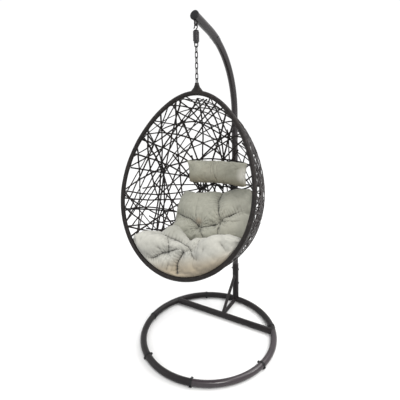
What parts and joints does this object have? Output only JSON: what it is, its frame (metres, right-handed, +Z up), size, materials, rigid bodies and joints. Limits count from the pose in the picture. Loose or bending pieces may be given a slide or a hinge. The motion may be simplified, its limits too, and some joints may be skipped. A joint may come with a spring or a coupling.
{
  "type": "hanging egg chair",
  "caption": "Hanging egg chair: an open wicker egg basket with seat, back and headrest cushions hangs by a spring and chain from a bent pole on a round tube base.",
  "frame": {"origin": "on the floor under the middle of the base ring", "axes": "+Z up along the pole, -Y towards the open front of the basket, +X to the right as seen from the front"},
  "size_m": [0.9212, 0.9204, 1.9797],
  "materials": {
    "stand_steel": "satin charcoal-brown powder coat, fine texture",
    "bare_steel": "bare tube steel, hidden inside other pieces",
    "bolt_steel": "zinc plated bolts and nuts",
    "dark_hardware": "dark coated hook, spring and chain, slightly glossy",
    "black_plastic": "moulded matte black plastic",
    "weave_brown": "dark brown synthetic wicker, open random weave and close wrapping",
    "rib_dark": "dark coated rods under the weave",
    "cushion_cloth": "pale sage-grey woven outdoor cloth",
    "black_webbing": "flat black webbing"
  },
  "bodies": {
    "stand": {"rear_ring_arc": "stand_steel", "front_ring_arc_left": "stand_steel", "front_ring_arc_right": "stand_steel", "ring_joint_sleeves": "bare_steel", "crossbar": "stand_steel", "floor_strut": "stand_steel", "slanted_brace": "stand_steel", "post_socket": "stand_steel", "main_pole": "stand_steel", "top_arm": "stand_steel", "pole_bolts": "bolt_steel", "pole_nuts": "bolt_steel", "end_cap": "black_plastic", "hanging_staple": "stand_steel", "foot_clips": "black_plastic"},
    "spring_top": {"spring_hook": "dark_hardware", "spring_top_plug": "dark_hardware", "coil_spring": "dark_hardware"},
    "spring_bottom": {"spring_bottom_plug": "dark_hardware", "lower_eye": "dark_hardware"},
    "chain_upper": {"upper_chain_links": "dark_hardware"},
    "chain_lower": {"lower_chain_links": "dark_hardware"},
    "chain_end": {"end_chain_link": "dark_hardware"},
    "basket": {"rim_core": "bare_steel", "rim_wrap": "weave_brown", "basket_shell": "weave_brown", "middle_hoop": "rib_dark", "seat_hoop": "rib_dark", "spine_rib": "rib_dark", "side_ribs": "rib_dark", "yoke_eye": "dark_hardware", "rim_gusset": "weave_brown", "seat_cushion": "cushion_cloth", "back_cushion": "cushion_cloth", "headrest_pillow": "cushion_cloth", "pillow_straps": "black_webbing", "strap_buckles": "black_plastic"}
  },
  "joints": [
    {"name": "spring_sway", "type": "hinge", "parent": "stand", "child": "spring_top", "pos_m": [0, -0.103, 1.912], "axis": [0, 1, 0], "range_deg": [-15, 15]},
    {"name": "spring_stretch", "type": "slide", "parent": "spring_top", "child": "spring_bottom", "axis": [0, 0, -1], "range_m": [0, 0.05], "stiffness_N_per_m": 20000, "springref_m": -0.0165, "deforming": ["coil_spring"]},
    {"name": "chain_swing", "type": "hinge", "parent": "spring_bottom", "child": "chain_upper", "pos_m": [0, -0.103, 1.8124], "axis": [1, 0, 0], "range_deg": [-25, 4]},
    {"name": "chain_twist", "type": "hinge", "parent": "chain_upper", "child": "chain_lower", "pos_m": [0, -0.103, 1.7381], "axis": [0, 0, 1], "range_deg": [-20, 20]},
    {"name": "end_twist", "type": "hinge", "parent": "chain_lower", "child": "chain_end", "pos_m": [0, -0.103, 1.6867], "axis": [0, 0, 1], "range_deg": [-20, 20]},
    {"name": "basket_tilt", "type": "hinge", "parent": "chain_end", "child": "basket", "pos_m": [0, -0.103, 1.65847], "axis": [1, 0, 0], "range_deg": [-10, 3]}
  ]
}
